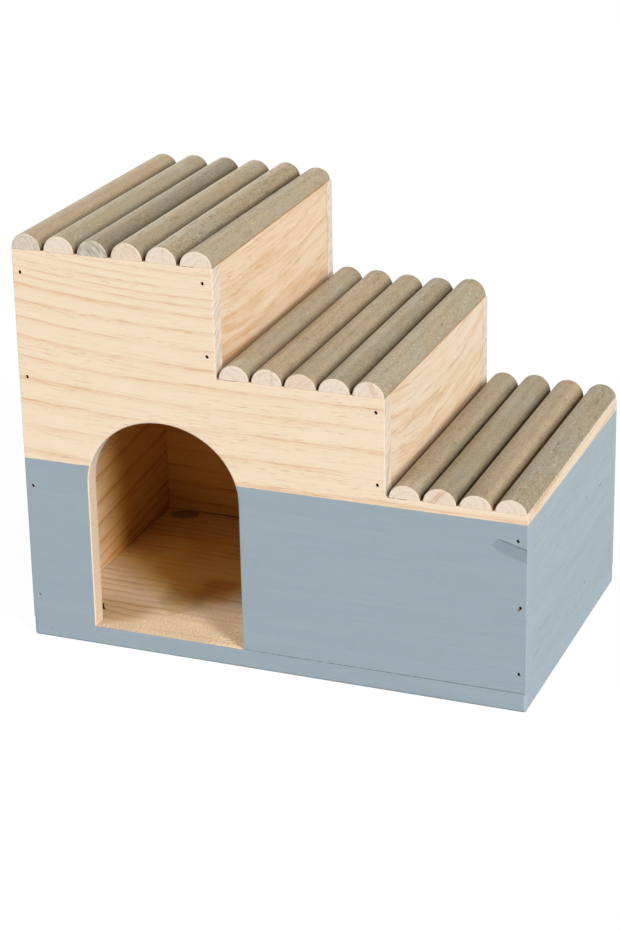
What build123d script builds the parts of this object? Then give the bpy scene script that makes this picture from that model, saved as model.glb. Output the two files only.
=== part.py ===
"""Stepped wooden pet house: pine boards, an arched doorway and a roof of half-round slats.

Millimetres. X runs along the house from the tall end to the low end, Y from the front panel
to the back panel, Z up. The origin is the middle of the underside.
"""

import os
from itertools import cycle

from build123d import *

# Boards
floor_thickness = 9.7
panel_thickness = 8.0
wall_thickness = 8.0
riser_thickness = 8.0
house_depth = 151.0

# Heights, each from the top of the piece below
right_wall_height = 88.5
lower_rise = 47.2
upper_rise = 52.6
riser_lap = 4.0

# Roof slats at the front panel, each as its width and height, from the tall end to the low end
upper_slats = ((15.1, 7.8), (15.9, 8.1), (15.8, 7.9), (16.1, 8.2), (15.8, 8.0), (16.2, 7.5))
middle_slats = ((15.2, 7.4), (15.4, 7.6), (15.7, 7.2), (15.5, 7.0), (15.5, 7.4))
lower_slats = ((15.2, 6.7), (16.1, 7.4), (15.7, 6.5), (15.1, 6.7))

# The same slats at the back panel: they taper a little
upper_slat_backs = ((13.8, 5.8), (14.8, 6.6), (14.5, 6.8), (14.9, 6.8), (14.5, 7.0), (13.7, 5.7))
middle_slat_backs = ((15.2, 8.0), (15.4, 7.7), (14.9, 7.0), (14.8, 7.0), (15.6, 8.1))
lower_slat_backs = ((15.1, 7.9), (15.6, 8.6), (15.5, 7.9), (15.3, 7.6))

# How far each slat runs to the right on its way back
upper_slat_drifts = (2.1, 2.4, 2.35, 1.8, 1.25, 0.4)
middle_slat_drifts = (-0.2, -0.6, -0.7, -1.05, -0.9)
lower_slat_drifts = (-0.05, -0.25, -0.3, 0.2)

upper_slat_gap = 1.26
middle_slat_gap = 0.81
lower_slat_gap = 1.04
middle_riser_gap = 1.15
lower_riser_gap = 1.4
last_slat_setback = 0.5
slat_end_round = 0.6

# Doorway
door_from_left = 33.4
door_width = 77.0
door_jamb_height = 74.3
door_arch_rise = 35.5
door_edge_round = 0.8

# Softened edges
board_edge_round = 0.5
floor_edge_round = 1.4

# Brads: flat wire with a wider head, sunk under the surface
brad_length = 25.0
brad_wire_width = 1.25
brad_wire_thickness = 1.2
brad_head_width = 1.5
brad_head_height = 0.6
brad_point_length = 1.8
brad_sink = 0.7
brad_clearance = 0.05

# Brads of a panel: in from the outer face of the board that they hold, then up or down
left_brads_from_floor = ((3.8, 12.4), (3.8, 69.7))
left_brads_from_top = ((4.3, 62.9), (3.8, 11.2))
right_brads_from_floor = ((3.6, 9.7), (3.2, 42.9))
right_brads_from_top = ((4.6, 12.9),)
upper_riser_brads = ((4.0, 10.2), (5.1, 45.2))
lower_riser_brads = ((3.8, 5.2), (4.2, 40.3))

# Brads under the floor board
floor_brad_from_end = 17.0
floor_brad_from_side = 32.0

# Turns of the brads' heads from upright, taken in order along a row
brad_leans = (14.0, 32.0, 22.0)


def tread_length(slats, gap):
    """Length of a row of slats with one gap between each two."""
    return sum(width for width, height in slats) + gap * (len(slats) - 1)


# Levels and lengths that follow from the sizes above
upper_tread = tread_length(upper_slats, upper_slat_gap)
middle_tread = middle_riser_gap + tread_length(middle_slats, middle_slat_gap)
lower_tread = lower_riser_gap + tread_length(lower_slats, lower_slat_gap) + last_slat_setback
house_length = upper_tread + middle_tread + lower_tread
left_end = -house_length / 2
right_end = house_length / 2
upper_riser_face = left_end + upper_tread
lower_riser_face = upper_riser_face + middle_tread

floor_top = floor_thickness
lower_seat = floor_top + right_wall_height
middle_seat = lower_seat + lower_rise
upper_seat = middle_seat + upper_rise
inner_depth = house_depth - 2 * panel_thickness

front_face = Plane((0, -house_depth / 2, 0), x_dir=(1, 0, 0), z_dir=(0, -1, 0))
back_face = Plane((0, house_depth / 2, 0), x_dir=(-1, 0, 0), z_dir=(0, 1, 0))
underside = Plane((0, 0, 0), x_dir=(-1, 0, 0), z_dir=(0, 0, -1))

os.makedirs("parts", exist_ok=True)


def write(part, name):
    """Label a finished piece and write it to its own file."""
    part.label = name
    export_step(part, f"parts/{name}.step")


def brad_plane(face, across, along, lean):
    """Plane through a brad: X runs into the wood and Y across its head."""
    turned = Plane(face.location * Location((across, along, 0), (0, 0, lean)))
    return Plane(turned.origin, x_dir=-turned.z_dir, z_dir=turned.x_dir)


def brad_planes(face, places):
    """Planes of the brads at the given places on a face."""
    leans = cycle(brad_leans)
    return [brad_plane(face, across, along, next(leans)) for across, along in places]


def panel_brad_places():
    """Places of one panel's brads, along the house and up from the underside."""
    places = [(left_end + inset, floor_top + up) for inset, up in left_brads_from_floor]
    places += [(left_end + inset, upper_seat - down) for inset, down in left_brads_from_top]
    places += [(upper_riser_face - inset, middle_seat + up) for inset, up in upper_riser_brads]
    places += [(lower_riser_face - inset, lower_seat + up) for inset, up in lower_riser_brads]
    places += [(right_end - inset, floor_top + up) for inset, up in right_brads_from_floor]
    places += [(right_end - inset, lower_seat - down) for inset, down in right_brads_from_top]
    return places


def floor_brad_places():
    """Places of the brads under the floor board, seen from above."""
    front_row = -(house_depth - panel_thickness) / 2
    door_left = left_end + door_from_left
    door_right = door_left + door_width
    right_pier = right_end - door_right
    front = [(left_end + door_from_left / 2, front_row)]
    front += [(door_right + right_pier * share, front_row) for share in (1 / 4, 3 / 4)]
    back_ends = house_length / 2 - floor_brad_from_end
    back = [(along, -front_row) for along in (-back_ends, 0, back_ends)]
    wall_row = (house_length - wall_thickness) / 2
    wall_side = house_depth / 2 - floor_brad_from_side
    walls = [(x, y) for x in (-wall_row, wall_row) for y in (-wall_side, wall_side)]
    return front + back + walls


def seen_from_outside(places):
    """The same places on a face that is looked at from the far side."""
    return [(-across, along) for across, along in places]


front_brad_planes = brad_planes(front_face, panel_brad_places())
back_brad_planes = brad_planes(back_face, seen_from_outside(panel_brad_places()))
floor_brad_planes = brad_planes(underside, seen_from_outside(floor_brad_places()))


def brad_outline(plane):
    """Side of one brad on its plane, with a flat head and a wedge point."""
    head_under = brad_sink + brad_head_height
    tip = brad_sink + brad_length
    shoulder = tip - brad_point_length
    with BuildSketch(plane) as outline:
        with BuildLine():
            Polyline(
                (brad_sink, -brad_head_width / 2),
                (head_under, -brad_head_width / 2),
                (head_under, -brad_wire_width / 2),
                (shoulder, -brad_wire_width / 2),
                (tip, 0),
                (shoulder, brad_wire_width / 2),
                (head_under, brad_wire_width / 2),
                (head_under, brad_head_width / 2),
                (brad_sink, brad_head_width / 2),
                close=True,
            )
        make_face()
    return outline.sketch


def brad_hole_outline(plane):
    """Side of one brad's hole, a clearance wider all round and open at the surface."""
    head_half = brad_head_width / 2 + brad_clearance
    wire_half = brad_wire_width / 2 + brad_clearance
    head_under = brad_sink + brad_head_height
    bottom = brad_sink + brad_length + brad_clearance
    with BuildSketch(plane) as outline:
        with BuildLine():
            Polyline(
                (-brad_sink, -head_half),
                (head_under, -head_half),
                (head_under, -wire_half),
                (bottom, -wire_half),
                (bottom, wire_half),
                (head_under, wire_half),
                (head_under, head_half),
                (-brad_sink, head_half),
                close=True,
            )
        make_face()
    return outline.sketch


def make_brads(planes):
    """Solid brads on the given planes."""
    for plane in planes:
        extrude(brad_outline(plane), amount=brad_wire_thickness / 2, both=True)


def cut_brad_holes(planes):
    """Cut the holes of the brads on the given planes out of the piece being made."""
    hole_half = brad_wire_thickness / 2 + brad_clearance
    for plane in planes:
        extrude(brad_hole_outline(plane), amount=hole_half, both=True, mode=Mode.SUBTRACT)


def panel_outline(plane):
    """Stepped outline of the front and back panels."""
    with BuildSketch(plane) as outline:
        with BuildLine():
            Polyline(
                (left_end, floor_top),
                (right_end, floor_top),
                (right_end, lower_seat),
                (lower_riser_face, lower_seat),
                (lower_riser_face, middle_seat),
                (upper_riser_face, middle_seat),
                (upper_riser_face, upper_seat),
                (left_end, upper_seat),
                close=True,
            )
        make_face()
    return outline.sketch


def door_outline(plane):
    """Doorway with straight jambs and a slightly flat elliptical head."""
    left = left_end + door_from_left
    right = left + door_width
    spring = floor_top + door_jamb_height
    with BuildSketch(plane) as outline:
        with BuildLine():
            Polyline((left, spring), (left, floor_top), (right, floor_top), (right, spring))
            EllipticalCenterArc(
                ((left + right) / 2, spring), door_width / 2, door_arch_rise, 0, arc_size=180
            )
        make_face()
    return outline.sketch


def above_floor(edges):
    """The edges that lie above the panel's bottom edge."""
    return edges.filter_by_position(Axis.Z, floor_top, upper_seat, inclusive=(False, True))


# Front panel
with BuildPart() as front_panel:
    extrude(panel_outline(front_face), amount=-panel_thickness)
    outer_side = front_panel.faces().sort_by(Axis.Y)[0]
    fillet(above_floor(outer_side.edges()), board_edge_round)
    extrude(door_outline(front_face), amount=-panel_thickness, mode=Mode.SUBTRACT)
    door_rim = front_panel.edges(Select.LAST).group_by(Axis.Y)[0]
    fillet(above_floor(door_rim), door_edge_round)
    cut_brad_holes(front_brad_planes)
    cut_brad_holes(floor_brad_planes)
write(front_panel.part, "front_panel")

# Back panel
with BuildPart() as back_panel:
    extrude(panel_outline(Plane.XZ.offset(-house_depth / 2)), amount=panel_thickness)
    outer_side = back_panel.faces().sort_by(Axis.Y)[-1]
    fillet(above_floor(outer_side.edges()), board_edge_round)
    cut_brad_holes(back_brad_planes)
    cut_brad_holes(floor_brad_planes)
write(back_panel.part, "back_panel")


def make_upright(outer_face, thickness, bottom, top):
    """Board between the panels, from its outer face at the given place in X inwards."""
    with BuildPart() as upright:
        with BuildSketch(Plane.XY.offset(bottom)):
            with Locations((outer_face + thickness / 2, 0)):
                Rectangle(abs(thickness), inner_depth)
        extrude(amount=top - bottom)
        cut_brad_holes(front_brad_planes)
        cut_brad_holes(back_brad_planes)
        cut_brad_holes(floor_brad_planes)
    return upright.part


# Walls and risers
write(make_upright(left_end, wall_thickness, floor_top, upper_seat), "left_wall")
write(make_upright(right_end, -wall_thickness, floor_top, lower_seat), "right_wall")
write(
    make_upright(upper_riser_face, -riser_thickness, middle_seat - riser_lap, upper_seat),
    "upper_riser",
)
write(
    make_upright(lower_riser_face, -riser_thickness, lower_seat - riser_lap, middle_seat),
    "lower_riser",
)

# Floor board
with BuildPart() as floor_board:
    with BuildSketch():
        Rectangle(house_length, house_depth)
    extrude(amount=floor_thickness)
    fillet(floor_board.edges().filter_by(Axis.Z), floor_edge_round)
    fillet(floor_board.faces().sort_by(Axis.Z)[0].edges(), floor_edge_round)
    cut_brad_holes(floor_brad_planes)
write(floor_board.part, "floor_board")


def slat_section(plane, middle, seat, size):
    """Half-round section of a slat, flat side down on the seat."""
    width, height = size
    with BuildSketch(plane) as section:
        with BuildLine():
            Line((middle - width / 2, seat), (middle + width / 2, seat))
            EllipticalCenterArc((middle, seat), width / 2, height, 0, arc_size=180)
        make_face()
    return section.sketch


def make_slat(middle, seat, front_size, back_size, drift):
    """Half-round slat that lies front to back, with its curved end edges rounded."""
    front = slat_section(front_face, middle, seat, front_size)
    back = slat_section(front_face.offset(-house_depth), middle + drift, seat, back_size)
    with BuildPart() as slat:
        loft([front, back])
        ends = slat.faces().filter_by(Axis.Y)
        fillet([end.edges().sort_by(Axis.Z)[-1] for end in ends], slat_end_round)
    return slat.part


def write_slats(tier, start, seat, slats, backs, drifts, gap):
    """One row of slats from the given place in X, each in its own file."""
    left = start
    for number, (front_size, back_size, drift) in enumerate(zip(slats, backs, drifts), start=1):
        width = front_size[0]
        slat = make_slat(left + width / 2, seat, front_size, back_size, drift)
        write(slat, f"{tier}_slat_{number}")
        left += width + gap


# Roof
write_slats(
    "upper", left_end, upper_seat,
    upper_slats, upper_slat_backs, upper_slat_drifts, upper_slat_gap,
)
write_slats(
    "middle", upper_riser_face + middle_riser_gap, middle_seat,
    middle_slats, middle_slat_backs, middle_slat_drifts, middle_slat_gap,
)
write_slats(
    "lower", lower_riser_face + lower_riser_gap, lower_seat,
    lower_slats, lower_slat_backs, lower_slat_drifts, lower_slat_gap,
)

# Brads
with BuildPart() as front_brads:
    make_brads(front_brad_planes)
write(front_brads.part, "front_brads")

with BuildPart() as back_brads:
    make_brads(back_brad_planes)
write(back_brads.part, "back_brads")

with BuildPart() as floor_brads:
    make_brads(floor_brad_planes)
write(floor_brads.part, "floor_brads")
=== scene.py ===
"""Looks of the stepped pet house: pine, blue-grey paint, stained slats, studio and camera."""

import math

import bpy
from mathutils import Matrix, Vector


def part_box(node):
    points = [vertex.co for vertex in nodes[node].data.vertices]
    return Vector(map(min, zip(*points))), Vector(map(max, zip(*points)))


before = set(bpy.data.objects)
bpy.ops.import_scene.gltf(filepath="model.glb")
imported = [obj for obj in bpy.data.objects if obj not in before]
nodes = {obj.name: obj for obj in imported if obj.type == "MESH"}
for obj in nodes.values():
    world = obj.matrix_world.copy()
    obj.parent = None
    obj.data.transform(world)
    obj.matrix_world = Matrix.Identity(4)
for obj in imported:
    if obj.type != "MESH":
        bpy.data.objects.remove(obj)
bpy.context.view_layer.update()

# Finishes are set out in millimetres
MM = 1000.0


def box_mm(node):
    """Lowest and highest corner of a node, in millimetres."""
    low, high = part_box(node)
    return low * MM, high * MM


# Boxes and heights of the boards, in millimetres, that the finishes are placed from
panel_low, panel_high = box_mm("front_panel")
back_low, back_high = box_mm("back_panel")
left_wall_face = box_mm("left_wall")[1].x
lower_seat = box_mm("right_wall")[1].z
middle_seat = box_mm("middle_slat_1")[0].z
upper_seat = panel_high.z
floor_top = box_mm("floor_board")[1].z

# The paint ends this far under the lowest step
PAINT_DROP = 4.6
paint_line = lower_seat - PAINT_DROP

# Bare pine outside, each as its pale wood, wide band, thin line and dash
FRONT_PINE = (
    (0.945, 0.770, 0.565),
    (0.885, 0.650, 0.440),
    (0.770, 0.470, 0.265),
    (0.680, 0.400, 0.215),
)
SIDE_PINE = (
    (0.760, 0.610, 0.455),
    (0.680, 0.490, 0.320),
    (0.580, 0.370, 0.210),
    (0.420, 0.250, 0.140),
)
RISER_PINE = (
    (0.790, 0.625, 0.450),
    (0.710, 0.480, 0.280),
    (0.570, 0.315, 0.135),
    (0.480, 0.260, 0.120),
)

# Tints of the risers, then painted shade at their feet: a darker tint and a brown band along the seat
UPPER_TONE = (0.955, 0.955, 0.965)
LOWER_TONE = (0.965, 1.015, 1.080)
RISER_FOOT_SHADE_TINT = (0.890, 0.860, 0.840)
RISER_FOOT_SHADE = (0.330, 0.180, 0.080)

# Sawn ends of the panels, and the doorway's jamb and rim
END_GRAIN = (0.690, 0.590, 0.480)
END_RING = (0.580, 0.455, 0.335)
# The jamb's lower part is paler and pinker, partly its own colour and partly painted light
JAMB_FOOT = (0.860, 0.640, 0.440)
JAMB_EDGE = (0.520, 0.330, 0.170)
DOOR_RIM = (0.930, 0.800, 0.640)

# Pine inside, in the same order, with its tints. Its warmer, more saturated tones paint the deep shade
# inside the house
WALL_INSIDE_SHADED = (
    (0.950, 0.535, 0.140),
    (0.880, 0.440, 0.102),
    (0.680, 0.265, 0.052),
    (0.560, 0.220, 0.045),
)
FLOOR_INSIDE_SHADED = (
    (0.980, 0.680, 0.255),
    (0.930, 0.580, 0.185),
    (0.740, 0.370, 0.095),
    (0.560, 0.250, 0.065),
)
# Pale floor wood: real wear at the sill, and also the painted pool of light that falls in by the
# doorway
FLOOR_WORN_AND_LIT = (
    (0.850, 0.640, 0.425),
    (0.670, 0.425, 0.220),
    (0.600, 0.345, 0.165),
    (0.420, 0.250, 0.130),
)
# Painted shade on the inner faces, over the back panel inside and at its foot; painted light on the
# walls by the doorway; painted shade low at the back of the walls and on the floor behind the edge of
# the light
INSIDE_SHADE_TINT = (0.95, 0.64, 0.28)
BACK_SHADE_TINT = (0.970, 0.950, 0.810)
BACK_FOOT_SHADE_TINT = (0.880, 0.930, 0.980)
WALL_LIT_TINT = (0.760, 0.975, 2.250)
WALL_DEEP_SHADE_TINT = (0.860, 0.960, 1.020)
FLOOR_DEEP_SHADE_TINT = (1.000, 0.840, 0.560)

# Painted shade by the edge of the painted light on the floor, as brown, yellow and dark tints: tint,
# then middle, half size and soft edge along X and along Y
FLOOR_SHADE_PATCHES = (
    ((1.000, 0.920, 0.900), (-58.0, 10.0, 14.0), (-24.0, 11.0, 9.0)),
    ((1.000, 0.940, 0.800), (-110.0, 28.0, 10.0), (-56.0, 7.0, 6.0)),
    ((0.770, 0.650, 0.550), (-52.0, 4.0, 12.0), (-20.0, 9.0, 8.0)),
)

# Painted shade and painted light on the floor, darker at the left front and paler on the right and by
# the left wall: how much paler, then the same
FLOOR_LIGHT_AND_SHADE = (
    (-0.12, (-110.0, 30.0, 12.0), (-73.0, 25.0, 10.0)),
    (0.20, (45.0, 89.0, 10.0), (-46.0, 8.0, 12.0)),
    (0.16, (-113.0, 25.0, 10.0), (14.0, 12.0, 10.0)),
)

# Knot in the floor: rim, wood and rings, with its place
KNOT_RIM = (0.330, 0.140, 0.045)
KNOT_WOOD = (0.540, 0.410, 0.245)
KNOT_RING = (0.360, 0.260, 0.150)
KNOT_PLACE = (-105.3, 62.5)

# More places on the floor, along X and Y: where the edge of the painted light is nearest the front,
# where that of the sanded and painted lighter wood meets the front, the rough corner, and the split
# with its angle
LIT_EDGE_PLACE = (-62.0, -45.0)
SANDED_PLACE = (-88.0, -75.5)
ROUGH_PLACE = (-17.0, -70.0)
SPLIT_PLACE = (-98.16, -54.22)
SPLIT_ANGLE = math.radians(57.66)

# Dark places: painted shade down gaps, holes and creases, the floor's joint, the back panel's seam, the
# split in the floor
GAP_SHADE = (0.050, 0.022, 0.008)
JOINT = (0.120, 0.100, 0.085)
SEAM = (0.170, 0.165, 0.155)
SPLIT = (0.040, 0.016, 0.006)

# Ranges by the doorway over which a mark fades in, along X or Z
LEFT_OF_DOOR_MIDDLE = (-60.0, -70.0)
LEFT_OF_DOOR_END = (-10.0, -13.0)
RIGHT_OF_DOOR = (-16.0, -10.0)
UNDER_ARCH_TOP = (125.0, 115.0)
UNDER_ARCH_RIM = (130.0, 124.0)

# Range over which a face turns from sloping to square on, where the paint begins
SQUARE_ON = (0.80, 0.93)

# Paint: middle, dark streak, pale streak, scratch
PAINT = (
    (0.343, 0.419, 0.470),
    (0.268, 0.338, 0.390),
    (0.393, 0.466, 0.513),
    (0.150, 0.175, 0.195),
)
WARM_PAINT = (0.345, 0.388, 0.418)
SIDE_PAINT_TINT = (1.00, 0.99, 0.96)

# Place of the brad on the front that is painted over, along X and Z, and how near a point has to
# be to a brad to belong to it
PAINTED_BRAD = (-121.2, 22.1)
BRAD_REACH = 4.0

# Leaf of paint over a knot: leaf, line along its top, glow above the line
LEAF = (0.205, 0.265, 0.305)
LEAF_LINE = (0.120, 0.155, 0.180)
LEAF_GLOW = (0.420, 0.490, 0.525)

# Painted shade in the gaps between the front panel and a slat: height of the seat, left and right end
SLAT_GAP_SHADES = ((upper_seat, -41.0, -33.5), (middle_seat, -23.0, -14.0), (lower_seat, 59.0, 67.5))

# Small marks in the paint: rust on the front, placed along X and Z, and a dark speck on the side
# walls, placed along Y and Z
RUST = (0.420, 0.150, 0.035)
RUST_PLACE = (121.1, 51.6)
SPECK = (0.160, 0.100, 0.075)
SPECK_PLACE = (21.7, 23.2)

# Scratches on the side walls: place along Y and Z, half length and strength
SCRATCHES = ((45.9, 64.7, 3.4, 0.75), (21.7, 67.8, 2.6, 0.7), (2.0, 80.4, 9.0, 0.35))

# Roughness of bare pine, how much smoother the paint is, and roughness of the slats and brads
PINE_ROUGHNESS = 0.62
PAINT_SMOOTHER = 0.10
SLAT_ROUGHNESS = 0.66
BRAD_ROUGHNESS = 0.9


class Field:
    """A number, vector or colour that varies over a surface. Arithmetic on it adds nodes."""

    def __init__(self, finish, socket):
        self.finish = finish
        self.socket = socket

    def __add__(self, other):
        return self.finish.math("ADD", self, other)

    def __sub__(self, other):
        return self.finish.math("SUBTRACT", self, other)

    def __rsub__(self, other):
        return self.finish.math("SUBTRACT", other, self)

    def __mul__(self, other):
        return self.finish.math("MULTIPLY", self, other)

    def __truediv__(self, other):
        return self.finish.math("DIVIDE", self, other)

    def __neg__(self):
        return self.finish.math("MULTIPLY", self, -1.0)

    __radd__ = __add__
    __rmul__ = __mul__

    def size(self):
        """The number without its sign."""
        return self.finish.math("ABSOLUTE", self)

    def root(self):
        """Square root."""
        return self.finish.math("SQRT", self)

    def whole(self):
        """The whole number below."""
        return self.finish.math("FLOOR", self)

    def turn(self):
        """What is left over the whole number."""
        return self.finish.math("FRACT", self)

    def least(self, other):
        """The smaller of the two."""
        return self.finish.math("MINIMUM", self, other)

    def most(self, other):
        """The larger of the two."""
        return self.finish.math("MAXIMUM", self, other)

    def rise(self, low, high):
        """0 under low, 1 over high and a smooth step between; low over high makes it fall."""
        node = self.finish.node("ShaderNodeMapRange", interpolation_type="SMOOTHSTEP")
        self.finish.feed(node.inputs[0], self)
        if low <= high:
            values = (low, high, 0.0, 1.0)
        else:
            values = (high, low, 1.0, 0.0)
        for socket, value in zip(node.inputs[1:5], values):
            socket.default_value = value
        return Field(self.finish, node.outputs[0])

    def band(self, middle, half, soft):
        """1 within half of middle, falling to 0 over soft."""
        return (self - middle).size().rise(half + soft, half)


class Finish:
    """One material, made from the object's own coordinates in millimetres."""

    def __init__(self, name, roughness=0.6, specular=0.3):
        self.material = bpy.data.materials.new(name)
        self.material.use_nodes = True
        self.tree = self.material.node_tree
        self.shader = self.tree.nodes["Principled BSDF"]
        self.shader.inputs["Roughness"].default_value = roughness
        self.shader.inputs["Specular IOR Level"].default_value = specular
        coordinates = self.node("ShaderNodeTexCoord")
        parts = self.node("ShaderNodeSeparateXYZ")
        scaled = self.node("ShaderNodeVectorMath", operation="SCALE")
        scaled.inputs["Scale"].default_value = MM
        self.tree.links.new(coordinates.outputs["Object"], scaled.inputs[0])
        self.tree.links.new(scaled.outputs[0], parts.inputs[0])
        self.x, self.y, self.z = (Field(self, parts.outputs[axis]) for axis in range(3))
        normal = self.node("ShaderNodeSeparateXYZ")
        self.tree.links.new(coordinates.outputs["Normal"], normal.inputs[0])
        self.facing = [Field(self, normal.outputs[axis]) for axis in range(3)]

    def node(self, kind, **settings):
        """New node of the material with the given settings."""
        made = self.tree.nodes.new(kind)
        for key, value in settings.items():
            setattr(made, key, value)
        return made

    def feed(self, socket, value):
        """Link a field to a socket, or set the socket to a number or colour."""
        if isinstance(value, Field):
            self.tree.links.new(value.socket, socket)
        elif isinstance(value, tuple) and len(socket.default_value) == 4:
            socket.default_value = (*value, 1.0)
        else:
            socket.default_value = value

    def math(self, operation, first, second=None):
        """Result of one math node."""
        node = self.node("ShaderNodeMath", operation=operation)
        self.feed(node.inputs[0], first)
        if second is not None:
            self.feed(node.inputs[1], second)
        return Field(self, node.outputs[0])

    def point(self, x, y, z):
        """Vector of three numbers."""
        node = self.node("ShaderNodeCombineXYZ")
        for socket, value in zip(node.inputs, (x, y, z)):
            self.feed(socket, value)
        return Field(self, node.outputs[0])

    def noise(self, x, y, z, detail=2.0, roughness=0.5):
        """Smooth noise round 0.5 at the given place, in noise cells."""
        node = self.node("ShaderNodeTexNoise")
        self.feed(node.inputs["Vector"], self.point(x, y, z))
        for key, value in (("Scale", 1.0), ("Detail", detail), ("Roughness", roughness)):
            node.inputs[key].default_value = value
        return Field(self, node.outputs[0])

    def mix(self, first, second, share):
        """First colour with the given share of the second."""
        node = self.node("ShaderNodeMix", data_type="RGBA")
        self.feed(node.inputs[0], share)
        self.feed(node.inputs[6], first)
        self.feed(node.inputs[7], second)
        return Field(self, node.outputs[2])

    def tint(self, colour, by, share):
        """Colour times another colour, by the given share."""
        node = self.node("ShaderNodeMix", data_type="RGBA", blend_type="MULTIPLY")
        self.feed(node.inputs[0], share)
        self.feed(node.inputs[6], colour)
        self.feed(node.inputs[7], by)
        return Field(self, node.outputs[2])

    def shade(self, colour, amount):
        """Colour times a number that varies round 1."""
        node = self.node("ShaderNodeVectorMath", operation="SCALE")
        self.feed(node.inputs[0], colour)
        self.feed(node.inputs["Scale"], amount)
        return Field(self, node.outputs[0])

    def distance(self, first, first_place, second, second_place):
        """Distance from a place, measured along two directions."""
        a = first - first_place
        b = second - second_place
        return (a * a + b * b).root()

    def finish(self, colour, height=None, depth=0.00006, roughness=None):
        """The material with its colour, its bump of the given depth in metres and its roughness."""
        self.feed(self.shader.inputs["Base Color"], colour)
        if roughness is not None:
            self.feed(self.shader.inputs["Roughness"], roughness)
        if height is not None:
            bump = self.node("ShaderNodeBump")
            bump.inputs["Strength"].default_value = 1.0
            bump.inputs["Distance"].default_value = depth
            self.feed(bump.inputs["Height"], height)
            self.tree.links.new(bump.outputs[0], self.shader.inputs["Normal"])
        return self.material


def pine(f, along, across, deep, seed, ring, wood, bands=1.0, lines=1.0, dashes=1.0, wave=0.25):
    """Sawn pine: growth rings cut lengthwise, made of thin broken threads, and short dashes.

    along, across and deep are places along the grain, across it and into the board. ring counts
    the growth rings over the board. bands, lines and dashes are how strong each of them is, and
    wave is how far the rings wander. Returns the colour, the height and the ring.
    """
    pale, band_colour, line_colour, dash_colour = wood
    swing = f.noise(along * 0.022, across * 0.15, deep * 0.15 + seed, detail=3.0)
    ring = ring + (swing - 0.5) * wave
    turn = ring.turn()
    strength = f.noise(along * 0.010, ring.whole() * 3.7, seed + 5.0, detail=2.0).rise(0.30, 0.62)
    core = turn.band(0.55, 0.025, 0.055) * strength
    band = turn.band(0.51, 0.05, 0.12) * strength
    halo = turn.band(0.44, 0.05, 0.38) * strength
    threads = f.noise(along * 0.060, across * 2.6, deep * 2.6 + seed + 1.0, detail=4.0, roughness=0.6)
    streaks = f.noise(along * 0.028, across * 0.8, deep * 0.8 + seed, detail=4.0, roughness=0.6)
    fine = f.noise(along * 0.7, across * 3.0, deep * 3.0 + seed, detail=3.0, roughness=0.7)
    spots = f.noise(along * 0.15, across * 2.7, deep * 2.7 + seed + 3.0, detail=1.0)
    areas = f.noise(along * 0.014, across * 0.20, deep * 0.15 + seed + 7.0, detail=2.0)
    thread = threads.rise(0.50, 0.63)
    soft = (band * 0.34 + halo * 0.22) * bands + streaks.rise(0.46, 0.80) * 0.28
    line = core * (thread * 0.90 + 0.18) + thread * (band * 0.60 + streaks.rise(0.50, 0.66) * 0.50)
    dash = spots.rise(0.62, 0.69) * areas.rise(0.40, 0.56) * dashes
    colour = f.mix(pale, band_colour, soft.least(1.0))
    colour = f.mix(colour, line_colour, (line * lines).least(1.0))
    colour = f.mix(colour, dash_colour, dash * 0.45)
    colour = f.shade(colour, 0.94 + fine * 0.12)
    height = fine * 0.6 - band * 0.2 - dash * 0.3
    return colour, height, ring


def end_grain(f, facing, colour, height, ring, a, b, slant, streaked=1.0):
    """Greyer wood with ring lines and small pores where the surface cuts across the grain.

    a and b are the places along the end's two sides. slant is the place across the pale and dark
    streaks of the sawn end, and streaked their share. Returns the colour and the height.
    """
    cut = facing.size().rise(0.50, 0.80)
    turn = (ring * 1.7).turn()
    line = turn.rise(0.25, 0.85) * turn.rise(1.0, 0.90)
    pores = f.noise(a * 2.0, b * 2.0, 1.0, detail=3.0, roughness=0.7)
    clouds = f.noise(a * 0.3, b * 0.10, 4.0, detail=2.0)
    share = line * clouds.rise(0.35, 0.65) * 0.42 + pores.rise(0.50, 0.74) * 0.40
    end_colour = f.mix(END_GRAIN, END_RING, share.least(1.0))
    streaks = f.noise(slant * 0.55, a * 0.08, 6.0, detail=3.0, roughness=0.6).rise(0.40, 0.60)
    streaked = streaked * (clouds.rise(0.35, 0.65) * 0.7 + 0.4)
    end_colour = f.shade(end_colour, 1.0 + (streaks * 0.30 - 0.15) * streaked)
    end_height = pores * 0.9 - line * 0.3
    return f.mix(colour, end_colour, cut), height + (end_height - height) * cut


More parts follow.
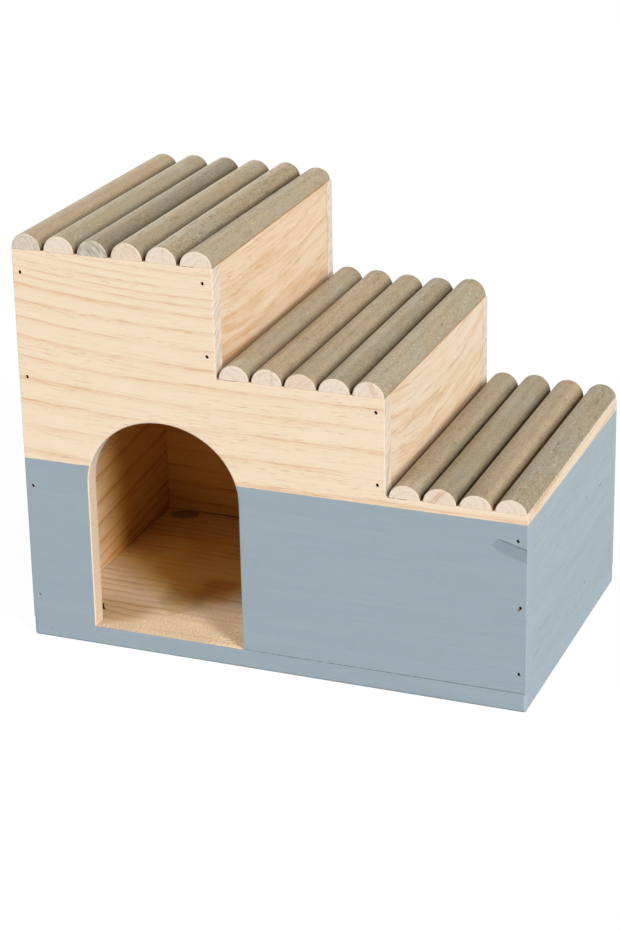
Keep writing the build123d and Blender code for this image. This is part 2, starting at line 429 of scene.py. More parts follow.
def paint_over(f, mask, colour, height, along, across, deep, seed, uneven=1.0, marked=0.0):
    """Thin blue-grey paint that lets a little of the grain through, where mask is 1.

    uneven is how strong its streaks are, and marked how strong its fine dashes. Returns the
    colour and the height.
    """
    middle, dark, light, scratch = PAINT
    grain = f.noise(along * 0.030, across * 1.1, deep * 1.1 + seed, detail=4.0, roughness=0.62)
    brush = f.noise(along * 0.015, across * 0.22, deep * 0.22 + seed + 4.0, detail=4.0)
    specks = f.noise(along * 1.1, across * 1.5, deep * 1.5 + seed, detail=2.0)
    marks = f.noise(along * 0.16, across * 1.6, deep * 1.6 + seed + 8.0, detail=1.0)
    mark_areas = f.noise(along * 0.03, across * 0.06, seed + 2.0, detail=1.0)
    mark = marks.rise(0.68, 0.75) * mark_areas.rise(0.40, 0.60)
    shadowed = grain.rise(0.50, 0.76) * 0.56 + brush.rise(0.50, 0.25) * 0.18
    paint = f.mix(middle, dark, shadowed * uneven)
    paint = f.mix(paint, light, brush.rise(0.48, 0.75) * 0.34 * uneven)
    paint = f.mix(paint, WARM_PAINT, grain.rise(0.48, 0.30) * 0.5)
    paint = f.mix(paint, scratch, mark * 0.30 * uneven)
    if marked:
        dashes = f.noise(along * 0.13, across * 1.5, deep * 1.5 + seed + 15.0, detail=2.0)
        paint = f.mix(paint, scratch, dashes.rise(0.60, 0.70) * marked)
    threads = f.noise(along * 0.045, across * 2.2, deep * 2.2 + seed + 20.0, detail=3.0, roughness=0.6)
    paint = f.shade(paint, 0.925 + specks * 0.07 + threads * 0.08)
    paint_height = grain * 0.5 + specks * 0.3 - mark * 0.5
    return f.mix(colour, paint, mask), height + (paint_height - height) * mask


def below_line(f, along, seed):
    """1 under the paint line, whose edge wanders a little."""
    wander = f.noise(along * 0.25, seed, 0.0, detail=3.0) - 0.5
    return (f.z + wander * 0.5).rise(paint_line + 0.12, paint_line - 0.12)


def end_faces(f, box_high):
    """1 on the outer ends of a panel."""
    return f.x.size().rise(box_high.x - 0.7, box_high.x - 0.5)


def brad_places(name):
    """Middle of each brad's head as seen from the front, in millimetres, found from the mesh."""
    places = []
    for vertex in nodes[name].data.vertices:
        point = (vertex.co.x * MM, vertex.co.z * MM)
        near = [place for place in places if math.dist(point, place[0]) < BRAD_REACH]
        if near:
            near[0].append(point)
        else:
            places.append([point])
    return [tuple(sum(axis) / len(axis) for axis in zip(*place)) for place in places]


def dark_holes(f, name, colour, outer_face, painted=None):
    """Shadow down the sunk hole over each brad, or paint in the hole at the place painted."""
    sunk = (f.y - outer_face).size().rise(0.12, 0.35)
    for x, z in brad_places(name):
        filled = painted is not None and math.dist((x, z), painted) < BRAD_REACH
        tone = PAINT[1] if filled else GAP_SHADE
        colour = f.mix(colour, tone, sunk * f.distance(f.x, x, f.z, z).rise(1.3, 1.1))
    return colour


def knot_patch(f, colour):
    """Slightly darker leaf of paint over a knot near the right end, with a dark line along its top.

    The leaf opens to the right from left_tip, between the line above and an arc that falls by
    leaf_drop over leaf_length.
    """
    left_tip = 108.2
    line_left = 111.0
    line_height = 85.3
    low_height = 82.4
    leaf_length = 16.7
    leaf_drop = 7.4
    front = (-f.facing[1]).rise(*SQUARE_ON)
    over = f.x - left_tip
    wander = (f.noise(f.x * 0.35, f.z * 0.8, 3.0, detail=3.0, roughness=0.6) - 0.5) * 1.4
    fall = (f.x - line_left).most(0.0) * 0.285 + (line_left - f.x).most(0.0) * 0.9
    top_line = line_height + wander * 0.3 - fall
    low_line = low_height - (over.most(0.0) / leaf_length).root() * leaf_drop + wander
    inside = (f.z - low_line).rise(-0.7, 0.9) * (top_line - f.z).rise(-0.3, 0.4) * over.rise(-0.4, 1.2)
    veins = f.noise(f.x * 0.5 + f.z * 1.2, f.z * 2.4 + f.x * 0.6, 7.0, detail=3.0, roughness=0.6)
    colour = f.mix(colour, LEAF, front * inside * (0.24 + veins.rise(0.35, 0.65) * 0.42))
    line = (f.z - top_line).band(0.0, 0.15, 0.45) * f.x.rise(110.6, 113.0) * front
    colour = f.mix(colour, LEAF_LINE, line * (0.32 + veins.rise(0.35, 0.55) * 0.48))
    glow = (f.z - top_line).band(1.1, 0.25, 0.7) * f.x.rise(110.0, 112.0) * f.x.rise(124.0, 119.0)
    return f.mix(colour, LEAF_GLOW, glow * front * 0.40)


def door_wood(f, colour, jamb):
    """Speckled wood of the left jamb, its lower part paler and pinker, partly as painted light, the
    curve of the arch painted lighter, darker along its inner edge, and the doorway's pale rim.
    """
    colour = f.mix(colour, JAMB_FOOT, jamb * f.z.rise(104.0, 76.0) * 0.55)
    speckle = f.noise(f.z * 0.55, f.y * 1.3, 5.0, detail=4.0, roughness=0.7)
    # Speckles, and painted light up the curve of the arch
    colour = f.shade(colour, 1.0 + ((speckle - 0.5) * 0.9 + f.z.rise(80.0, 95.0) * 0.17) * jamb)
    ragged = f.noise(f.z * 0.45, f.y * 0.6, 9.0, detail=3.0, roughness=0.6)
    inner_edge = (f.y + ragged * 1.4).rise(panel_high.y + 0.1, panel_high.y + 0.5)
    colour = f.mix(colour, JAMB_EDGE, jamb * inner_edge * 0.55)
    sloping = f.facing[1].band(-0.70, 0.12, 0.14)
    rim = sloping * f.x.rise(*LEFT_OF_DOOR_END) * f.z.rise(*UNDER_ARCH_RIM)
    return f.mix(colour, DOOR_RIM, rim * 0.6)


def front_marks(f, colour):
    """Broken dark line along the floor's joint, painted shade of gaps under three slats and a rust
    mark.
    """
    breaks = f.noise(f.x * 0.35, 3.0, 0.0, detail=3.0, roughness=0.7) + f.x.rise(20.0, 110.0) * 0.08
    joint = f.z.rise(floor_top + 0.42, floor_top + 0.22) * f.x.rise(*RIGHT_OF_DOOR)
    colour = f.mix(colour, JOINT, joint * breaks.rise(0.36, 0.54) * 0.85)
    # Painted shade of a gap under three slats
    for seat, left, right in SLAT_GAP_SHADES:
        along = f.x.band((left + right) / 2, (right - left) / 2, 1.0)
        under = f.z.band(seat - 0.10, 0.10, 0.16) * along
        colour = f.mix(colour, GAP_SHADE, under * f.noise(f.x * 0.8, 1.0, 0.0).rise(0.35, 0.50) * 0.8)
    rust = f.distance(f.x, RUST_PLACE[0], f.z, RUST_PLACE[1])
    return f.mix(colour, RUST, rust.rise(0.9, 0.4))


def front_panel_finish():
    """Front panel: long grain that bends up at the left, paint below, marks and sunk brads."""
    f = Finish("front_pine")
    bend_from = -25.0
    lift = ((f.x - bend_from) / 100.0).least(0.0)
    bow = f.z.rise(95.0, 175.0) * 4.0 + 3.2
    level = f.z - lift * lift * bow - panel_low.z

    # Growth rings get closer together with height
    close_from = 83.0
    closer_from = 166.0
    above = level - close_from
    upper = (level - closer_from).most(0.0)
    ring = above / 14.0 + above.most(0.0) * above.most(0.0) / 2900.0 + upper / 8.0 - f.y * 0.045
    colour, height, ring = pine(f, f.x, level, f.y, 11.0, ring, FRONT_PINE, dashes=1.4, wave=0.22)

    # The jamb is the doorway's left inner side with its part of the arch. It has no streaks,
    # and those of the sawn ends are steeper on the right.
    jamb = f.facing[0].rise(0.1, 0.5) * f.x.rise(*LEFT_OF_DOOR_MIDDLE) * f.z.rise(*UNDER_ARCH_TOP)
    steep = f.x.rise(0.0, 40.0)
    slant = f.z * (1.0 - steep * 0.5) - f.y * (0.6 + steep * 0.5)
    colour, height = end_grain(f, f.facing[0], colour, height, ring, f.y, f.z, slant, 1.0 - jamb)
    # Painted shade: the inner faces darker and warmer
    colour = f.tint(colour, INSIDE_SHADE_TINT, f.facing[1].rise(0.5, 0.8))
    colour = door_wood(f, colour, jamb)

    outside = (-f.facing[1]).rise(*SQUARE_ON).most(end_faces(f, panel_high))
    mask = outside * below_line(f, f.x, 2.0)
    colour, height = paint_over(f, mask, colour, height, f.x, f.z, f.y, 21.0, uneven=0.75)
    colour = front_marks(f, knot_patch(f, colour))
    colour = dark_holes(f, "front_brads", colour, panel_low.y, PAINTED_BRAD)
    return f.finish(colour, height, roughness=PINE_ROUGHNESS - mask * PAINT_SMOOTHER)


def back_panel_finish():
    """Back panel: pale and painted outside, with painted shade inside, where it is warm and darker, and
    along the crease with the floor.
    """
    f = Finish("back_pine")
    ring = (f.z + f.x * 0.05) / 9.5 + f.y * 0.05
    outer, height, ring = pine(f, f.x, f.z, f.y, 31.0, ring, FRONT_PINE)
    outer, height = end_grain(f, f.facing[0], outer, height, ring, f.y, f.z, f.z - f.y * 0.8)
    within = pine(f, f.x, f.z, f.y, 33.0, ring, WALL_INSIDE_SHADED, bands=1.2, lines=1.2)[0]
    inner = (-f.facing[1]).rise(0.5, 0.8)
    # Painted shade inside, darker still at the foot
    within = f.tint(within, BACK_SHADE_TINT, 1.0)
    within = f.tint(within, BACK_FOOT_SHADE_TINT, f.z.rise(34.0, 14.0))
    colour = f.mix(outer, within, inner)
    # Painted shade along the crease with the floor, stronger towards the right
    shown = f.x.rise(-112.0, -80.0) * 0.7 + 0.25
    colour = f.mix(colour, GAP_SHADE, inner * f.z.rise(floor_top + 0.75, floor_top + 0.45) * shown)
    outside = f.facing[1].rise(*SQUARE_ON).most(end_faces(f, back_high))
    mask = outside * below_line(f, f.x, 6.0)
    colour, height = paint_over(f, mask, colour, height, f.x, f.z, f.y, 41.0)
    seam = f.facing[0].rise(0.5, 0.8) * f.y.rise(back_low.y + 0.55, back_low.y + 0.25)
    colour = f.mix(colour, SEAM, seam * 0.55)
    colour = dark_holes(f, "back_brads", colour, back_high.y)
    return f.finish(colour, height, roughness=PINE_ROUGHNESS - mask * PAINT_SMOOTHER)


def side_wall_finish(name, outward, seed):
    """Left or right wall: grain runs front to back, paint outside only. Inside, painted light by the
    doorway and painted shade low at the back.

    outward is 1 where the wall's outer side faces +X, and -1 where it faces -X.
    """
    f = Finish(name)
    outer_ring = (f.z - f.y * 0.05) / 8.0 + f.x * 0.04
    outer, height = pine(f, f.y, f.z, f.x, seed, outer_ring, SIDE_PINE, wave=0.4)[:2]
    level = f.z - f.y * 0.10 - 1.8
    ring = (level - 6.0).most(0.1).root() + 0.20
    within = pine(f, f.y, level, f.x, seed, ring, WALL_INSIDE_SHADED, bands=1.5, lines=2.5, wave=0.1)[0]
    # Painted light inside by the doorway: paler, less saturated and brighter higher up, held back on a
    # band 65 mm high
    lit_patch = f.y.rise(14.0, -26.0)
    kept = f.z.band(65.0, 3.0, 5.0) * f.y.rise(-12.0, 0.0) * 0.6
    within = f.tint(within, WALL_LIT_TINT, lit_patch * (1.0 - kept))
    # Painted shade low down at the back
    within = f.tint(within, WALL_DEEP_SHADE_TINT, f.y.rise(0.0, 50.0) * f.z.rise(62.0, 18.0))
    within = f.shade(within, 1.06 + lit_patch * (f.z.rise(30.0, 52.0) * 0.26 - 0.04))
    facing = f.facing[0] * outward
    colour = f.mix(outer, within, facing.rise(-0.5, -0.8))
    mask = facing.rise(0.5, 0.8) * below_line(f, f.y, seed)
    colour, height = paint_over(
        f, mask, colour, height, f.y, f.z, f.x, seed + 5.0, uneven=1.2, marked=0.32
    )
    colour = f.tint(colour, SIDE_PAINT_TINT, mask)
    lean = 0.12
    half_width = 0.45
    for y, z, half_length, strength in SCRATCHES:
        across = (f.z + f.y * lean) / half_width
        mark = f.distance(f.y / half_length, y / half_length, across, (z + y * lean) / half_width)
        colour = f.mix(colour, PAINT[3], mask * mark.rise(1.1, 0.5) * strength)
    speck = f.distance(f.y, SPECK_PLACE[0], f.z * 1.4, SPECK_PLACE[1] * 1.4)
    colour = f.mix(colour, SPECK, mask * speck.rise(1.1, 0.6) * 0.75)
    return f.finish(colour, height, roughness=PINE_ROUGHNESS - mask * PAINT_SMOOTHER)


def riser_finish(name, seed, bow, seat, tone, small=1.0, strong=1.0, warm=0.0, foot=0.0):
    """Upright board above a tread, with blotchy warm grain.

    The grain rises by bow, in millimetres, from near the middle to the panels. seat is the height
    of the tread under the board, and tone tints the wood. small is how fine the blotches are: less
    makes them larger. strong is how clear they are, warm darkens the lower front corner, and foot
    is how much painted shade darkens the foot of the board.
    """
    f = Finish(name)
    band_colour, line_colour = RISER_PINE[1:3]
    away = (f.y + 10.0) / 60.0
    level = f.z - away * away * bow
    ring = level / 9.5 + f.x * 0.05
    colour, height = pine(f, f.y, level, f.x, seed, ring, RISER_PINE, bands=0.6, wave=1.5)[:2]
    flames = f.noise(f.y * 0.030 * small, level * 0.26 * small, seed, detail=4.0, roughness=0.6)
    wide = f.noise(f.y * 0.016, level * 0.09, seed + 3.0, detail=2.0)
    tips = f.noise(f.y * 0.07 * small, level * 1.4 * small, seed + 9.0, detail=4.0, roughness=0.65)
    blotches = flames.rise(0.46, 0.66) * 0.50 + wide.rise(0.42, 0.65) * 0.35
    colour = f.mix(colour, band_colour, blotches * strong)
    colour = f.mix(colour, line_colour, tips.rise(0.54, 0.62) * flames.rise(0.46, 0.58) * 0.52 * strong)
    colour = f.tint(colour, tone, 1.0)
    # Painted shade, darker at the foot of the board
    colour = f.tint(colour, RISER_FOOT_SHADE_TINT, f.z.rise(seat + 15.0, seat + 10.0) * foot)
    corner = f.z.rise(seat + 40.0, seat + 8.0) * f.y.rise(0.0, -60.0) * flames.rise(0.35, 0.60)
    colour = f.mix(colour, line_colour, corner * warm)
    # Painted shade: a brown band along the seat, and the inner face darker and warmer
    colour = f.mix(colour, RISER_FOOT_SHADE, f.z.rise(seat + 8.5, seat + 3.0) * 0.55)
    colour = f.tint(colour, INSIDE_SHADE_TINT, f.facing[0].rise(-0.5, -0.8))
    return f.finish(colour, height)


def floor_wear(f, colour, pale, top):
    """Painted light by the doorway, pale up to a line that runs back on both sides, and painted shade
    behind it.
    """
    side = (LIT_EDGE_PLACE[0] - f.x).most(0.0) * 0.88 + (f.x - LIT_EDGE_PLACE[0]).most(0.0) * 0.98
    wander = (f.noise(f.x * 0.06, f.y * 0.22, 12.0, detail=2.0) - 0.5) * 9.0
    behind = f.y - LIT_EDGE_PLACE[1] - side + wander
    fibres = (f.noise(f.x * 0.035, f.y * 0.95, 14.0, detail=3.0, roughness=0.6) - 0.5) * 16.0
    lit_patch = (behind + fibres).rise(11.0, -12.0)
    # Painted shade: tinted behind the edge of the light
    deep = behind.rise(6.0, 18.0) * f.x.rise(-100.0, -84.0) * f.y.rise(52.0, 34.0)
    colour = f.tint(colour, FLOOR_DEEP_SHADE_TINT, deep)
    colour = f.mix(pale, colour, top * (1.0 - lit_patch))

    # Sanded across the doorway and painted lighter there, where light falls in, and rough in its right
    # corner, which is painted lighter too
    ragged = f.noise(f.x * 0.1, f.y * 0.1, 0.0) * 8.0 - 4.0
    sanded_edge = (f.x - SANDED_PLACE[0]) * 0.92 - (f.y - SANDED_PLACE[1]) + ragged
    sanded_and_lit_area = sanded_edge.rise(-9.0, 7.0).most(f.y.rise(-66.5, -69.0)) * f.y.rise(-26.0, -48.0)
    sanded = f.noise(f.x * 0.9, f.y * 1.6, 3.0, detail=4.0, roughness=0.75)
    colour = f.mix(colour, FLOOR_WORN_AND_LIT[0], top * sanded_and_lit_area * 0.55)
    colour = f.shade(colour, 1.0 + (sanded - 0.5) * (sanded_and_lit_area * 1.8 + 0.35))
    sawn = f.noise((f.x + f.y) * 0.9, (f.x - f.y) * 0.35, 9.0, detail=4.0, roughness=0.75)
    rough_and_lit_corner = f.distance(f.x, ROUGH_PLACE[0], f.y * 0.55, ROUGH_PLACE[1] * 0.55).rise(20.0, 8.0)
    colour = f.shade(colour, 1.0 + rough_and_lit_corner * (0.28 - sawn.rise(0.46, 0.62) * 0.46))

    # Painted shade and painted light: tinted, darker and paler patches, and a darker band behind the
    # edge of the light
    for tint, across, back in FLOOR_SHADE_PATCHES:
        colour = f.tint(colour, tint, f.x.band(*across) * f.y.band(*back))
    shade = 1.0 - behind.band(3.0, 8.0, 5.0) * f.x.band(-64.0, 7.0, 8.0) * 0.20
    for paler, across, back in FLOOR_LIGHT_AND_SHADE:
        shade = shade + f.x.band(*across) * f.y.band(*back) * paler
    return f.shade(colour, shade)


def floor_marks(f, colour, top):
    """Knot in the back left corner, split by the left jamb and a line of painted shade along the left
    wall.
    """
    knot_x = f.x - KNOT_PLACE[0]
    knot_y = f.y - KNOT_PLACE[1]
    knot = f.distance(knot_x * 0.94 + knot_y * 0.33, 0.0, knot_y * 1.42 - knot_x * 0.50, 0.0)
    knot = knot + (f.noise(f.x * 0.3, f.y * 0.3, 2.0) - 0.5) * 1.6
    rings = f.noise(knot * 0.9, 0.0, 5.0, detail=2.0)
    colour = f.mix(colour, KNOT_RIM, top * knot.rise(9.0, 7.0) * 0.5)
    knot_colour = f.mix(KNOT_WOOD, KNOT_RING, rings.rise(0.35, 0.65))
    colour = f.mix(colour, knot_colour, top * knot.rise(7.4, 6.8))
    split_x = f.x - SPLIT_PLACE[0]
    split_y = f.y - SPLIT_PLACE[1]
    along = split_x * math.cos(SPLIT_ANGLE) - split_y * math.sin(SPLIT_ANGLE)
    across = split_x * math.sin(SPLIT_ANGLE) + split_y * math.cos(SPLIT_ANGLE)
    split = (across - along * along * 0.03).band(0.0, 0.50, 0.35) * along.band(0.0, 3.2, 0.8)
    colour = f.mix(colour, SPLIT, top * split)
    # Painted shade in the crease along the left wall
    wall_line = (f.x - left_wall_face).rise(0.7, 0.3)
    return f.mix(colour, GAP_SHADE, top * wall_line * 0.25)


def floor_finish():
    """Floor board: sanded and marked on top, with painted light and shade there, painted round its
    edge.
    """
    f = Finish("floor_pine")
    swing = (f.noise(f.x * 0.02, f.y * 0.03, 8.0, detail=2.0) - 0.5) * 10.0
    ring = (f.y + f.x * 0.04 + swing) / 8.0 + f.z * 0.05
    pale = pine(f, f.x, f.y, f.z, 51.0, ring * 1.45, FLOOR_WORN_AND_LIT, bands=1.8, lines=0.7, dashes=0.6)[0]
    colour, height = pine(
        f, f.x, f.y, f.z, 53.0, ring * 1.5, FLOOR_INSIDE_SHADED, bands=1.2, lines=1.7, dashes=0.7
    )[:2]
    top = f.facing[2].rise(0.6, 0.9)
    colour = floor_marks(f, floor_wear(f, colour, pale, top), top)
    edge = f.facing[2].size().rise(0.9, 0.6)
    colour, height = paint_over(f, edge, colour, height, f.x, f.z, f.y, 61.0)
    return f.finish(colour, height, roughness=PINE_ROUGHNESS - edge * PAINT_SMOOTHER)


# Stain on the slats: four tones, then dark pores, painted shade in the grooves and the orange foot
STAIN_GREY = (0.475, 0.440, 0.350)
STAIN_OLIVE = (0.410, 0.352, 0.240)
STAIN_BROWN = (0.455, 0.350, 0.222)
STAIN_TAN = (0.500, 0.365, 0.225)
STAIN_DARK = (0.150, 0.105, 0.052)
GROOVE_SHADE = (0.105, 0.062, 0.022)
STAIN_ORANGE = (0.330, 0.150, 0.050)

# Bare wood of the slats: scuffs, a scraped foot, and the sawn ends with their rings and wedges
SCUFF = (0.620, 0.600, 0.540)
SCRAPED = (0.740, 0.630, 0.490)
SLAT_END = (0.870, 0.740, 0.605)
SLAT_END_PINK = (0.750, 0.545, 0.370)
SLAT_END_GREY = (0.560, 0.495, 0.400)
SLAT_WEDGE = (0.640, 0.430, 0.260)

# Steel of the brads, and the dirt on it
BRAD_STEEL = (0.008, 0.005, 0.003)
BRAD_DIRT = (0.024, 0.014, 0.008)


def slat_end(f, low, high, seed, grey_end, warm_end, wedge):
    """Sawn end of a slat: bent growth rings, pores and saw marks. Returns colour and height."""
    middle = (low.x + high.x) / 2
    width = high.x - low.x
    up = f.z - low.z
    spot = f.noise(f.x * 0.9, f.z * 0.9, seed, detail=4.0, roughness=0.7)
    heart_x = middle + math.sin(seed) * width * 0.9
    heart_z = low.z - 4.0 - 6.0 * abs(math.cos(seed))
    bent = f.distance(f.x, heart_x, f.z, heart_z)
    bent = bent + (f.noise(f.x * 0.25, f.z * 0.25, seed, detail=2.0) - 0.5) * 6.0
    rings = (bent * 0.30).turn()
    sawn = f.noise((f.x + f.z * 0.7) * 1.4, (f.z - f.x * 0.7) * 0.16, seed, detail=3.0)
    ring_line = rings.rise(0.62, 0.92) * rings.rise(1.0, 0.94)
    share = ring_line * sawn.rise(0.35, 0.60) * 0.62 + spot.rise(0.50, 0.74) * 0.55
    share = share + sawn.rise(0.52, 0.72) * 0.26
    colour = f.mix(SLAT_END, SLAT_END_PINK, (share + warm_end).least(1.0))
    colour = f.mix(colour, f.shade(SLAT_END_GREY, 0.15 + sawn * 1.7), grey_end)
    colour = f.shade(colour, 1.0 + (sawn - 0.5) * (grey_end * 0.45 + 0.20))
    if wedge is not None:
        place, lean, half, strength = wedge
        offset = f.x - middle - up * lean
        fibre = f.noise(offset * 1.6, up * 0.2, seed + 12.0, detail=3.0).rise(0.35, 0.65)
        streak = (offset + spot * 1.6 - 0.8).band(place, half * 0.4, half * 0.8)
        colour = f.mix(colour, SLAT_WEDGE, streak * (0.35 + fibre) * strength)
    return colour, spot


def slat_finish(
    name, seed, brown=0.3, tan=0.0, rough=1.0, scuffed=0.0, tone=1.0, right_flank_shade=0.10, left_flank_light=-0.10,
    dirt_and_shade=4.4, open_side=False, orange=False, worn_side=False, grey_end=0.0, warm_end=0.0, wedge=None
):
    """Half-round slat: patchy grey-olive stain, painted light and shade over the half round, brown
    painted shade in the grooves, bare sawn ends.

    brown and tan add those stains, rough strengthens the dark pores, scuffed adds pale scuffs and
    tone is the brightness of the stain. dull darkens the right flank, a painted shade. left_flank_light
    lightens the left one as painted light, or darkens it as painted shade where it is negative.
    dirt is how high the brown painted shade of the grooves reaches.
    open_side is for the last slat of a step, whose right side has no groove. orange moves the
    orange foot to the right flank and widens it, and worn_side scrapes that foot bare. grey_end
    greys the sawn ends and warm_end tans them. wedge is a tan streak over them: place, lean, half
    width and strength.
    """
    low, high = box_mm(name)
    f = Finish(name + "_stain", specular=0.10)
    up = f.z - low.z
    patches = f.noise(f.x * 0.08, f.y * 0.030, f.z * 0.08 + seed, detail=3.0)
    cloud = f.noise(f.x * 0.35, f.y * 0.09, f.z * 0.35 + seed + 2.0, detail=4.0, roughness=0.65)
    grain = f.noise(f.x * 1.2, f.y * 0.10, f.z * 1.2 + seed, detail=4.0, roughness=0.65)
    pores = f.noise(f.x * 0.95, f.y * 0.70, f.z * 0.95 + seed, detail=3.0, roughness=0.7)
    colour = f.mix(STAIN_OLIVE, STAIN_BROWN, (patches.rise(0.40, 0.62) * 0.6 + brown).least(1.0))
    colour = f.mix(colour, STAIN_TAN, (cloud.rise(0.50, 0.75) * 0.40 + tan).least(1.0))
    left_flank = f.facing[0].rise(0.05, -0.60)
    greyed = left_flank * (left_flank_light * 2.0 + 0.25) + patches.rise(0.48, 0.28) * 0.35
    colour = f.mix(colour, STAIN_GREY, greyed)
    dark = grain.rise(0.48, 0.74) * 0.20 + pores.rise(0.50, 0.68) * 0.34 + cloud.rise(0.48, 0.28) * 0.30
    colour = f.mix(colour, STAIN_DARK, (dark * rough).least(1.0))
    colour = f.mix(colour, STAIN_GREY, pores.rise(0.48, 0.36) * 0.35 * rough)
    scuffs = f.noise(f.x * 0.8, f.y * 0.40, f.z * 0.8 + seed + 4.0, detail=4.0, roughness=0.7)
    scuff_areas = f.noise(f.x * 0.05, f.y * 0.03, seed + 6.0, detail=2.0) + scuffed
    colour = f.mix(colour, SCUFF, scuffs.rise(0.56, 0.67) * scuff_areas.rise(0.52, 0.66) * 0.62)

    # Painted light and shade over the half round: the left flank lighter, the right flank and top
    # darker, and brown shade in the grooves
    groove = up.rise(dirt_and_shade, 0.2)
    if open_side:
        groove = groove * f.facing[0].rise(0.2, -0.2)
    flank = f.facing[0].rise(0.0, 0.40) * 0.12 + f.facing[0].rise(0.0, 0.75) * right_flank_shade
    lit = 1.04 + left_flank * left_flank_light - flank - f.facing[2].rise(0.84, 0.98) * 0.12
    colour = f.shade(colour, lit * tone)
    colour = f.mix(colour, GROOVE_SHADE, groove * 0.80)
    # Painted shade at the slat's foot, in the groove next to its neighbour
    if not open_side:
        colour = f.mix(colour, GAP_SHADE, up.rise(2.2, 0.4) * 0.55)
    if orange:
        foot = (up + cloud * 1.6).rise(3.0, 1.6) * f.facing[0].rise(0.2, 0.6)
    else:
        foot = up.rise(0.8, 0.3) * 0.6
    colour = f.mix(colour, STAIN_ORANGE, foot)
    if worn_side:
        chipped = f.noise(f.y * 0.45, 4.0, seed, detail=4.0, roughness=0.75)
        bare = (up - chipped * 3.4 + 1.5 - f.y.rise(-60.0, 70.0) * 1.5).rise(1.0, -0.2)
        scraped = bare * f.facing[0].rise(0.2, 0.5) * (0.45 + pores * 0.8)
        colour = f.mix(colour, SCRAPED, scraped.least(1.0))

    height = grain * 0.4 + pores * 0.5
    end, end_height = slat_end(f, low, high, seed, grey_end, warm_end, wedge)
    cut = f.facing[1].size().rise(0.72, 0.90)
    height = height + (end_height - height) * cut
    return f.finish(f.mix(colour, end, cut), height, roughness=SLAT_ROUGHNESS)


def brad_finish():
    """Dark steel; the lowest brad on the left of the front is painted over."""
    f = Finish("brad_steel", roughness=BRAD_ROUGHNESS, specular=0.0)
    dirt_and_shade = f.noise(f.x * 2.0, f.y * 2.0, f.z * 2.0, detail=2.0)
    steel = f.mix(BRAD_STEEL, BRAD_DIRT, dirt_and_shade)
    over_brad = f.distance(f.x, PAINTED_BRAD[0], f.z, PAINTED_BRAD[1]).rise(2.0, 1.5)
    return f.finish(f.mix(steel, PAINT[0], over_brad * f.y.rise(0.0, -60.0)))


def dress(name, material):
    """Give a node its one material, in the slot of that name."""
    obj = nodes[name]
    obj.data.materials.clear()
    obj.data.materials.append(material)


# How each slat differs, as the arguments of slat_finish
SLAT_LOOKS = {
    "upper_slat_1": dict(
        brown=0.5, tan=0.65, rough=0.6, tone=1.06, right_flank_shade=0.20, left_flank_light=0.25, grey_end=0.50
    ),
    "upper_slat_2": dict(brown=0.2, rough=0.7, tone=1.08, right_flank_shade=0.24, left_flank_light=0.26, dirt_and_shade=5.0),
    "upper_slat_3": dict(
        brown=0.1, rough=0.9, tone=0.95, right_flank_shade=0.36, left_flank_light=0.40, dirt_and_shade=5.4, grey_end=1.0
    ),
    "upper_slat_4": dict(
        brown=0.5, tan=0.05, rough=0.9, tone=1.10, right_flank_shade=0.28, left_flank_light=0.36, dirt_and_shade=5.4, warm_end=0.2
    ),
    "upper_slat_5": dict(
        brown=0.45, tan=0.10, rough=1.5, scuffed=0.06, tone=1.12, right_flank_shade=0.26, left_flank_light=0.36,
        wedge=(0.8, 0.0, 0.5, 0.35),
    ),
    "upper_slat_6": dict(brown=0.25, scuffed=0.05, tone=1.08, open_side=True),
    "middle_slat_1": dict(brown=0.3, rough=0.8, tone=1.12, right_flank_shade=0.18, left_flank_light=0.0),
    "middle_slat_2": dict(
        brown=0.6, tan=0.25, rough=1.2, tone=1.07, right_flank_shade=0.16, wedge=(3.0, 0.0, 0.6, 0.4)
    ),
    "middle_slat_3": dict(brown=0.5, tan=0.10, tone=0.94, right_flank_shade=0.06, warm_end=0.3),
    "middle_slat_4": dict(brown=0.2, tone=0.97, right_flank_shade=0.22, dirt_and_shade=4.8),
    "middle_slat_5": dict(
        brown=0.3, scuffed=0.10, tone=1.04, open_side=True, wedge=(4.2, -0.45, 1.8, 0.42)
    ),
    "lower_slat_1": dict(brown=0.4, tone=1.02, right_flank_shade=0.07, left_flank_light=0.0),
    "lower_slat_2": dict(
        brown=0.2, rough=0.8, tone=0.88, right_flank_shade=0.12, warm_end=0.08, wedge=(-3.8, 0.9, 2.2, 0.6)
    ),
    "lower_slat_3": dict(brown=0.7, tan=0.10, tone=0.88, right_flank_shade=-0.08, orange=True),
    "lower_slat_4": dict(
        brown=0.1, rough=1.2, scuffed=0.15, tone=0.91, open_side=True, worn_side=True
    ),
}

dress("front_panel", front_panel_finish())
dress("back_panel", back_panel_finish())
dress("left_wall", side_wall_finish("left_pine", outward=-1.0, seed=71.0))
dress("right_wall", side_wall_finish("right_pine", outward=1.0, seed=81.0))
upper_riser = riser_finish(
    "upper_riser_pine", seed=91.0, bow=3.0, seat=middle_seat, tone=UPPER_TONE, warm=0.55, foot=1.0
)
lower_riser = riser_finish(
    "lower_riser_pine", seed=95.0, bow=6.0, seat=lower_seat, tone=LOWER_TONE, small=0.7, strong=0.9
)
dress("upper_riser", upper_riser)
dress("lower_riser", lower_riser)
dress("floor_board", floor_finish())
slat_names = sorted(name for name in nodes if "_slat_" in name)
for number, name in enumerate(slat_names):
    seed = 3.0 + 7.0 * number
    dress(name, slat_finish(name, seed, **SLAT_LOOKS[name]))
brad_material = brad_finish()
for name in ("front_brads", "back_brads", "floor_brads"):
    dress(name, brad_material)

